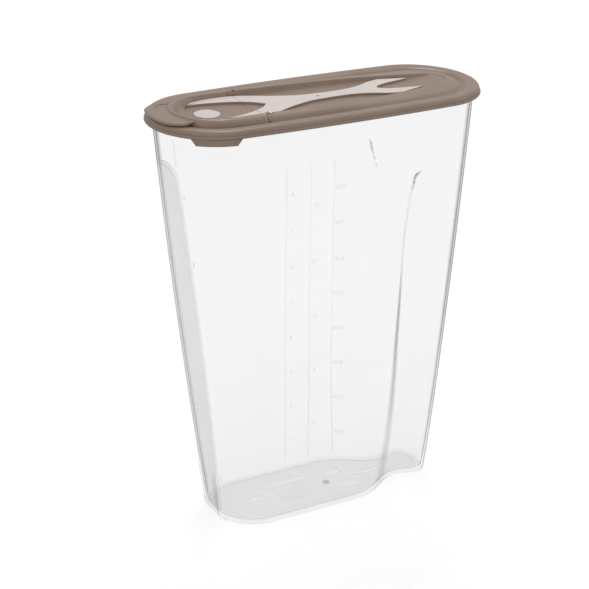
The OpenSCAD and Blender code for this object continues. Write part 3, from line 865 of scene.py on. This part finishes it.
def lift_tab(h, side):
    """A lift tab that hangs from the lip at one front corner."""
    s = h.s
    skirt = h.c.side_over - h.c.rim_bead - s.gap
    low, high = LIP_Z - s.tab_drop, LIP_Z + 0.6 * MM
    stations = ((0.3 * MM, low), (0, low + 0.3 * MM), (0, high), (skirt, high), (skirt, low))
    rings = [h.lid_ring(inset, z) for inset, z in stations]
    band = loft("tab", rings, wrap=True)
    half, drop, r = s.tab_width / 2, s.tab_drop, 1.0 * MM
    a = np.linspace(math.pi, 1.5 * math.pi, 7)
    foot = half - 3.4 * MM
    left = [(-foot + r + r * math.cos(t), -drop + r + r * math.sin(t)) for t in a]
    profile = [(-half, MM), *left, *[(-x, z) for x, z in left[::-1]], (half, MM)]
    turn = math.radians(180 + side * TAB_PLACE)
    out = np.array([math.cos(turn), math.sin(turn), 0])
    across = np.array([-math.sin(turn), math.cos(turn), 0])
    room = sweep_prism(profile, (h.b + LID_LOW.x, 0, LIP_Z), across, (0, 0, 1), out * 0.1)
    return combine(band, room, "INTERSECT")


def thumb_lip(h):
    """The thick lip at the front of the flap, which a thumb lifts."""
    s = h.s
    root = h.b - s.foot_inset - 2.8 * MM
    low = LID_BEAD * MM + s.gap + 0.25 * MM
    t = s.thumb
    top = low + t
    section = [(0, low), (0.55, low), (0.9, low + 0.02 * MM), (0.97, low + 0.12 * MM)]
    section += [(1, low + 0.45 * t), (0.99, low + 0.8 * t)]
    section += [(0.94, top + 0.12 * MM), (0.88, top + 0.25 * MM), (0.68, top + 0.3 * MM)]
    section += [(0.61, top + 0.2 * MM), (0.56, top - 0.5 * MM), (0.5, top - 0.65 * MM)]
    section += [(0, top - 0.5 * MM)]
    rings = []
    half = s.thumb_half
    end = half + math.radians(2)
    fade = math.radians(7)
    for a in np.linspace(-end, end, 85):
        share = mix(0.05, 1.0, float(ease((end - abs(a)) / fade)))
        reach = h.b - 5.2 * MM * float(ease((abs(a) - half * 0.45) / (half * 0.55)))
        ring = []
        for p, z in section:
            r = mix(root, reach, p * share)
            height = mix(low + 0.4 * t, z, max(0.3, share))
            ring.append((h.b + LID_LOW.x - r * math.cos(a), r * math.sin(a), LIP_Z + height))
        rings.append(np.array(ring))
    return loft("thumb", rings, ends=True)


def flap_piece():
    """The hinged spout flap, as one mesh."""
    h = LidShape()
    s = h.s
    flap = h.platform()
    fuse(flap, combine(h.block(), slab(HINGE.x - 5 * MM, HINGE.x), "INTERSECT"))
    cut(flap, slab(HINGE.x - s.gap / 2, 0.2, 0.33))
    fuse(flap, thumb_lip(h))
    low = h.floor - s.shell - s.seal_depth
    rim = prism(*h.mouth(0.9 * MM, low, low + s.seal_depth + 0.4 * MM))
    cut(rim, prism(*h.mouth(2.1 * MM, low - MM, low + 0.1)))
    fuse(flap, rim)
    for side in (-1, 1):
        cut(flap, rod(s.knuckle + 1.5 * s.gap, h.tongue_in - s.gap, h.tongue_out + 2 * MM, side))
        fuse(flap, rod(s.knuckle, h.knuckle_in, h.knuckle_out, side))
        fuse(flap, rod(s.pin, h.knuckle_out - MM, h.knuckle_out + 2.2 * MM, side))
    flap.name = "flap_shell"
    return flap


# Corners of one side of the crossed inlay, in millimetres, run by run from rear to front.
INLAY_RUNS = (
    ((47.5, 0), (50.5, 3.6), (59, 6.8), (69, 8.7), (78.5, 10.5)),
    ((78.5, 10.5), (68, 13.4), (57.5, 16.3)),
    ((57.5, 16.3), (48, 13.8), (38, 9.2), (28, 6.4), (16, 5.4), (3, 5.7), (-8, 6.6),
        (-18, 9.4), (-28, 13), (-38, 17.8), (-48, 22.6), (-56, 24.8)),
    ((-56, 24.8), (-66, 25.6), (-76, 24.8), (-86, 21.8), (-92, 18)),
    ((-92, 18), (-83, 18.3), (-73, 16.6), (-63, 14.2), (-53, 10.4), (-45, 5.4), (-40, 0)),
)


def inlay_side(h):
    """One side of the crossed inlay, from its rear notch round to its front notch."""
    runs = [through(run, 8)[:-1] for run in INLAY_RUNS]
    points = np.vstack([*runs, [INLAY_RUNS[-1][-1]]]) * MM
    wall = h.wall_ring(1.1, 1)
    half = wall[CAPS // 2 : len(wall) // 2 + CAPS // 2 + 1]
    order = np.argsort(half[:, 0])
    room = np.interp(points[:, 0], half[order, 0], np.abs(half[order, 1]))
    points[:, 1] = np.minimum(points[:, 1], room)
    return points


def clipped(points, x, rear):
    """The part of a side behind or in front of x, with the points where it crosses x."""
    out = []
    for a, b in zip(points[:-1], points[1:]):
        inside = a[0] > x if rear else a[0] < x
        if inside:
            out.append(a)
        if (a[0] - x) * (b[0] - x) < 0:
            out.append(mix(a, b, (x - a[0]) / (b[0] - a[0])))
    if rear:
        out.append(points[-1])
    return np.array(out)


def narrowness(p):
    """The plate's width at each point of its outline, or 1 where nothing faces the point."""
    apart = np.linalg.norm(p[:, None] - p[None], axis=2)
    walked = np.concatenate([[0], np.cumsum(np.linalg.norm(np.diff(p, axis=0), axis=1))])
    total = walked[-1] + np.linalg.norm(p[0] - p[-1])
    along = np.abs(walked[:, None] - walked[None])
    along = np.minimum(along, total - along)
    return np.where(along > 1.8 * apart + 1e-6, apart, 1.0).min(axis=1)


def mirrored(obj):
    """Completes a half that lies on one side of y = 0, and opens the wall between the halves."""
    bm = bmesh.new()
    bm.from_mesh(obj.data)
    wall = [f for f in bm.faces if all(abs(v.co.y) < 1e-7 for v in f.verts)]
    bmesh.ops.delete(bm, geom=wall, context="FACES_ONLY")
    copy = bmesh.ops.duplicate(bm, geom=[*bm.verts, *bm.edges, *bm.faces])["geom"]
    for v in copy:
        if isinstance(v, bmesh.types.BMVert):
            v.co.y = -v.co.y
    bmesh.ops.remove_doubles(bm, verts=bm.verts, dist=2e-6)
    bmesh.ops.recalc_face_normals(bm, faces=bm.faces)
    bm.to_mesh(obj.data)
    bm.free()
    return obj


def raised_plate(name, points, low, high, bevel, half=False):
    """A plate over a flat outline, with a rounded upper edge and a pale top over dark sides."""
    p = np.array(points)
    keep = np.linalg.norm(p - np.roll(p, 1, 0), axis=1) > 0.02 * MM
    p = p[keep]
    ahead, back = np.roll(p, -1, 0) - p, p - np.roll(p, 1, 0)
    ahead /= np.linalg.norm(ahead, axis=1)[:, None]
    back /= np.linalg.norm(back, axis=1)[:, None]
    area = np.sum(p[:, 0] * np.roll(p[:, 1], -1) - np.roll(p[:, 0], -1) * p[:, 1])
    normal = np.column_stack([-(ahead + back)[:, 1], (ahead + back)[:, 0]]) * math.copysign(1, area)
    size = np.linalg.norm(normal, axis=1)[:, None]
    normal = normal / np.maximum(size, 1e-9) / np.maximum(size / 2, 0.6)
    reach = np.minimum(bevel, 0.35 * narrowness(p))[:, None]
    if half:
        reach[np.abs(p[:, 1]) < 1e-7] = 0
    rings = [at_height(p, low), at_height(p, high - bevel)]
    for i in range(1, 5):
        a = i / 4 * math.pi / 2
        drawn = p + normal * reach * (1 - math.cos(a))
        rings.append(at_height(drawn, high - bevel * (1 - math.sin(a))))
    plate = loft(name, rings, ends=True)
    if half:
        mirrored(plate)
    plate.data.materials.append(finishes()["lid_plastic"])
    plate.data.materials.append(finishes()["inlay_plastic"])
    verts = plate.data.vertices
    for face in plate.data.polygons:
        lowest = min(verts[v].co.z for v in face.vertices)
        face.material_index = int(lowest > high - bevel * 1.05)
    return plate


class BuildContainer(bpy.types.Operator):
    """Build the clear container's shell"""

    bl_idname = "flip_container.shell"
    bl_label = "Container"

    def execute(self, context):
        clear = finishes()["clear_shell"]
        finish_piece(container_shell(), "container", clear, ["container_body"], sharp=40)
        return {"FINISHED"}


# Corners of the pads under the base, and the middle of the gate mark, in millimetres.
BASE_PADS = ((23, 4, 36, 14), (26, -15, 39, -5), (44, -3, 65, 3), (-46, -3, -34, 4))
GATE_PLACE = (17.5, -1.5)


class BuildBaseDetails(bpy.types.Operator):
    """Build the moulding gate mark and the bare raised pads under the base"""

    bl_idname = "flip_container.base_details"
    bl_label = "Base details"

    def execute(self, context):
        s = context.scene.container_sizes
        high, low = s.foot_h + 0.05 * MM, s.foot_h - 0.25 * MM
        for i, pad in enumerate(BASE_PADS):
            x0, y0, x1, y1 = (v * MM for v in pad)
            piece = rounded_plate(f"base_pad_{i + 1}", x0, y0, x1, y1, 1 * MM, low, high)
            finish_piece(piece, "container", finishes()["clear_pads"])
        x, y = (v * MM for v in GATE_PLACE)
        section = [(2.3, high), (2.5, low + 0.1 * MM), (1.6, low), (0.8, low + 0.15 * MM)]
        rings = [round_ring(x, y, r * MM, z, 48) for r, z in section]
        gate = loft("base_gate_mark", rings, ends=True)
        finish_piece(gate, "container", finishes()["clear_marks"])
        return {"FINISHED"}


def rounded_plate(name, x0, y0, x1, y1, r, low, high):
    """A thin plate with rounded corners."""
    points = []
    corners = ((x1 - r, y1 - r), (x0 + r, y1 - r), (x0 + r, y0 + r), (x1 - r, y0 + r))
    for (cx, cy), start in zip(corners, (0, 90, 180, 270)):
        a = np.radians(np.linspace(start, start + 90, 9))
        points += zip(cx + r * np.cos(a), cy + r * np.sin(a))
    plate = prism(points, low, high)
    plate.name = name
    return plate


class BuildScaleMarks(bpy.types.Operator):
    """Build the raised lines, ticks and numbers of the scales on the far wall"""

    bl_idname = "flip_container.scale_marks"
    bl_label = "Scale marks"

    def execute(self, context):
        for i, (x, first, step, low, high, count, ticks) in enumerate(SCALES):
            bars = [(x - 0.25, low, x + 0.25, high, 40)]
            meshes = []
            pitch = (high - low) / (count + 0.3)
            for k in range(count):
                z = low + pitch * (k + 0.6)
                meshes.append(number_mesh(first + step * k, (x + 5.2) * MM, z * MM, 5.2 * MM))
                bars.append((x, z - 0.2, x + 2.4, z + 0.2, 1))
                between = [z + pitch * t / ticks for t in range(1, ticks)]
                bars += [(x, mid - 0.15, x + 1.5, mid + 0.15, 1) for mid in between if mid < high]
            meshes.append(bar_mesh([(*(v * MM for v in bar[:4]), bar[4]) for bar in bars]))
            piece = on_far_wall(f"scale_{i + 1}", join_meshes("scale", meshes), 0.18 * MM)
            finish_piece(piece, "container", finishes()["clear_marks"])
        return {"FINISHED"}


class BuildLabel(bpy.types.Operator):
    """Build the bare paper label under the base"""

    bl_idname = "flip_container.label"
    bl_label = "Base label"

    def execute(self, context):
        low, high = LABEL_LOW, LABEL_HIGH
        corners = (low.x, low.y, high.x, high.y)
        label = rounded_plate("paper_label", *corners, 0.8 * MM, low.z, high.z)
        finish_piece(label, "container", finishes()["label_paper"], ["base_label"])
        return {"FINISHED"}


class BuildLid(bpy.types.Operator):
    """Build the lid with its bead, lift tabs, plug, dish and hinge tongues"""

    bl_idname = "flip_container.lid"
    bl_label = "Lid"

    def execute(self, context):
        finish_piece(lid_piece(), "lid", finishes()["lid_plastic"], ["lid"])
        return {"FINISHED"}


class BuildFlap(bpy.types.Operator):
    """Build the spout flap with its bowl, thumb lip, sealing rim, knuckles and pins"""

    bl_idname = "flip_container.flap"
    bl_label = "Spout flap"

    def execute(self, context):
        finish_piece(flap_piece(), "flap", finishes()["lid_plastic"], ["spout_flap"])
        return {"FINISHED"}


class BuildInlays(bpy.types.Operator):
    """Build the pale crossed inlay and its two arms on the flap"""

    bl_idname = "flip_container.inlays"
    bl_label = "Inlays"

    def execute(self, context):
        h = LidShape()
        side = inlay_side(h)
        low, high, bevel = INLAY_LOW.z, INLAY_HIGH.z, 0.35 * MM
        cream = finishes()["inlay_plastic"]
        gap = h.s.gap / 2
        half = clipped(side, HINGE.x + gap, True)
        cross = raised_plate("crossed_inlay", half, low, high, bevel, half=True)
        section = ((0.5, -0.3), (1.0, -0.25), (1.15, 0.01), (1.3, 0.2))
        dimple = [round_ring(0, 0, r * MM, high + z * MM, 40) for r, z in section]
        cut(cross, loft("dimple", dimple, ends=True))
        finish_piece(cross, "lid", cream, ["lid_inlay"], sharp=15)
        arm = clipped(side, HINGE.x - gap, False)
        for name, flip in (("left", -1), ("right", 1)):
            piece = raised_plate(f"flap_arm_{name}", arm * [1, flip], low, high, bevel)
            finish_piece(piece, "flap", cream, [f"flap_inlay_{name}"], sharp=15)
        return {"FINISHED"}


class BuildBadge(bpy.types.Operator):
    """Build the bare round badge in the flap's bowl"""

    bl_idname = "flip_container.badge"
    bl_label = "Badge"

    def execute(self, context):
        low, high = BADGE_LOW, BADGE_HIGH
        r = (high.x - low.x) / 2
        x, y = (low.x + high.x) / 2, (low.y + high.y) / 2
        t = high.z - low.z
        edge = ((1.0, 0), (1.0, 0.7), (0.975, 0.92), (0.94, 1.0), (0.82, 1.0))
        bowl = ((0.79, 0.75), (0.76, 0.72), (0.7, 0.72), (0.3, 0.74))
        rings = [round_ring(x, y, r * k, low.z + t * z, 128) for k, z in (*edge, *bowl)]
        badge = loft("round_badge", rings, ends=True)
        finish_piece(badge, "flap", finishes()["inlay_plastic"], ["flap_badge"])
        return {"FINISHED"}


CAMERA_PLACE = (-0.5775, -0.9625, 0.6509)
CAMERA_RIGHT = (0.8683, -0.4954, 0.0259)
CAMERA_UP = (0.1789, 0.3615, 0.9151)
CAMERA_BACK = (-0.4627, -0.7899, 0.4025)
CAMERA_LENS, CAMERA_SENSOR = 105.06, 36.0
FLOOR_HALF = 6.0
LIGHT_TARGET = (0, 0, 0.2)
# Name, place, size, power and colour of each light.
LIGHTS = (
    ("back_light", (0.42, 0.72, 1.75), 0.55, 5.0, (1.0, 0.99, 0.98)),
    ("front_light", (-1.5, -1.2, 0.8), 1.1, 2.5, (0.98, 0.99, 1.0)),
    ("side_light", (1.6, -0.9, 0.7), 1.1, 2.5, (1.0, 1.0, 1.0)),
)


def soft_light(name, place, size, power, rgb):
    """A soft studio light that faces the object."""
    data = bpy.data.lights.new(name, "AREA")
    data.shape, data.size, data.energy, data.color = "DISK", size, power, rgb
    light = placed(name, data)
    light.location = place
    away = Vector(LIGHT_TARGET) - Vector(place)
    light.rotation_euler = away.to_track_quat("-Z", "Y").to_euler()


def floor_material(rgb):
    """A pale floor that looks white to the camera and still keeps shadows."""
    n = Nodes(bpy.data.materials.new("studio_floor"))
    shader = n.add("ShaderNodeBsdfPrincipled", Roughness=0.32)
    grain = n.noise(60.0, 3.0, 0.5)
    tone = n.ranged(grain, "Fac", 0.0, 1.0, 0.3, 0.7)
    n.link(n.tinted(tone, shade(rgb, 0.98), shade(rgb, 1.02)), 2, shader, "Base Color")
    glow = n.add("ShaderNodeEmission", Strength=0.6)
    total = n.add("ShaderNodeAddShader")
    n.link(shader, 0, total, 0)
    n.link(glow, 0, total, 1)
    path = n.add("ShaderNodeLightPath")
    choice = n.add("ShaderNodeMixShader")
    n.link(path, "Is Camera Ray", choice, 0)
    n.link(shader, 0, choice, 1)
    n.link(total, 0, choice, 2)
    n.link(choice, 0, n.out, 0)
    return n.owner


def studio_world():
    """White for the camera and through clear pieces, else a soft fill, strongest overhead."""
    world = bpy.data.worlds.new("studio")
    n = Nodes(world, "ShaderNodeOutputWorld")
    white = n.add("ShaderNodeBackground", Color=(1, 1, 1, 1))
    fill = n.add("ShaderNodeBackground", Color=(1, 1, 1, 1))
    place = n.add("ShaderNodeTexCoord")
    split = n.add("ShaderNodeSeparateXYZ")
    n.link(place, "Generated", split, 0)
    n.link(n.ranged(split, "Z", 0.48, 0.7, 0.0, 0.9), "Result", fill, "Strength")
    path = n.add("ShaderNodeLightPath")
    seen = n.add("ShaderNodeMath")
    seen.operation = "MAXIMUM"
    n.link(path, "Is Camera Ray", seen, 0)
    n.link(path, "Is Transmission Ray", seen, 1)
    choice = n.add("ShaderNodeMixShader")
    n.link(seen, 0, choice, 0)
    n.link(fill, 0, choice, 1)
    n.link(white, 0, choice, 2)
    n.link(choice, 0, n.out, 0)
    bpy.context.scene.world = world


class BuildStage(bpy.types.Operator):
    """Build the camera, the pale floor, the soft lights and the white surroundings"""

    bl_idname = "flip_container.stage"
    bl_label = "Stage"

    def execute(self, context):
        scene = context.scene
        scene.view_settings.view_transform = "Standard"
        data = bpy.data.cameras.new("photo_camera")
        data.lens, data.sensor_width = CAMERA_LENS, CAMERA_SENSOR
        camera = placed("photo_camera", data)
        turn = Matrix((CAMERA_RIGHT, CAMERA_UP, CAMERA_BACK)).transposed()
        camera.matrix_world = Matrix.Translation(CAMERA_PLACE) @ turn.to_4x4()
        scene.camera = camera
        studio_world()
        corners = [(x * FLOOR_HALF, y * FLOOR_HALF, 0) for x, y in ((-1, -1), (1, -1), (1, 1), (-1, 1))]
        floor = new_object("studio_floor", corners, [(0, 1, 2, 3)])
        floor.data.materials.append(floor_material(tuple(scene.container_finishes.floor)))
        for light in LIGHTS:
            soft_light(*light)
        return {"FINISHED"}


OPERATORS = (
    BuildContainer,
    BuildBaseDetails,
    BuildScaleMarks,
    BuildLabel,
    BuildLid,
    BuildFlap,
    BuildInlays,
    BuildBadge,
    BuildStage,
)


class ContainerPanel(bpy.types.Panel):
    """Sizes, colours and building steps of the container"""

    bl_idname = "VIEW3D_PT_flip_container"
    bl_label = "Flip Spout Container"
    bl_space_type = "VIEW_3D"
    bl_region_type = "UI"
    bl_category = "Container"

    def draw(self, context):
        scene = context.scene
        for group in (scene.container_sizes, scene.lid_sizes, scene.container_finishes):
            box = self.layout.box()
            for key in group.__annotations__:
                box.prop(group, key)
        for operator in OPERATORS:
            self.layout.operator(operator.bl_idname)


CLASSES = (ContainerSizes, LidSizes, Finishes, *OPERATORS, ContainerPanel)


def register():
    for cls in CLASSES:
        bpy.utils.register_class(cls)
    bpy.types.Scene.container_sizes = bpy.props.PointerProperty(type=ContainerSizes)
    bpy.types.Scene.lid_sizes = bpy.props.PointerProperty(type=LidSizes)
    bpy.types.Scene.container_finishes = bpy.props.PointerProperty(type=Finishes)


def unregister():
    del bpy.types.Scene.container_sizes, bpy.types.Scene.lid_sizes, bpy.types.Scene.container_finishes
    for cls in reversed(CLASSES):
        bpy.utils.unregister_class(cls)


def main():
    register()
    for operator in OPERATORS:
        group, name = operator.bl_idname.split(".")
        getattr(getattr(bpy.ops, group), name)()


if __name__ == "__main__":
    main()
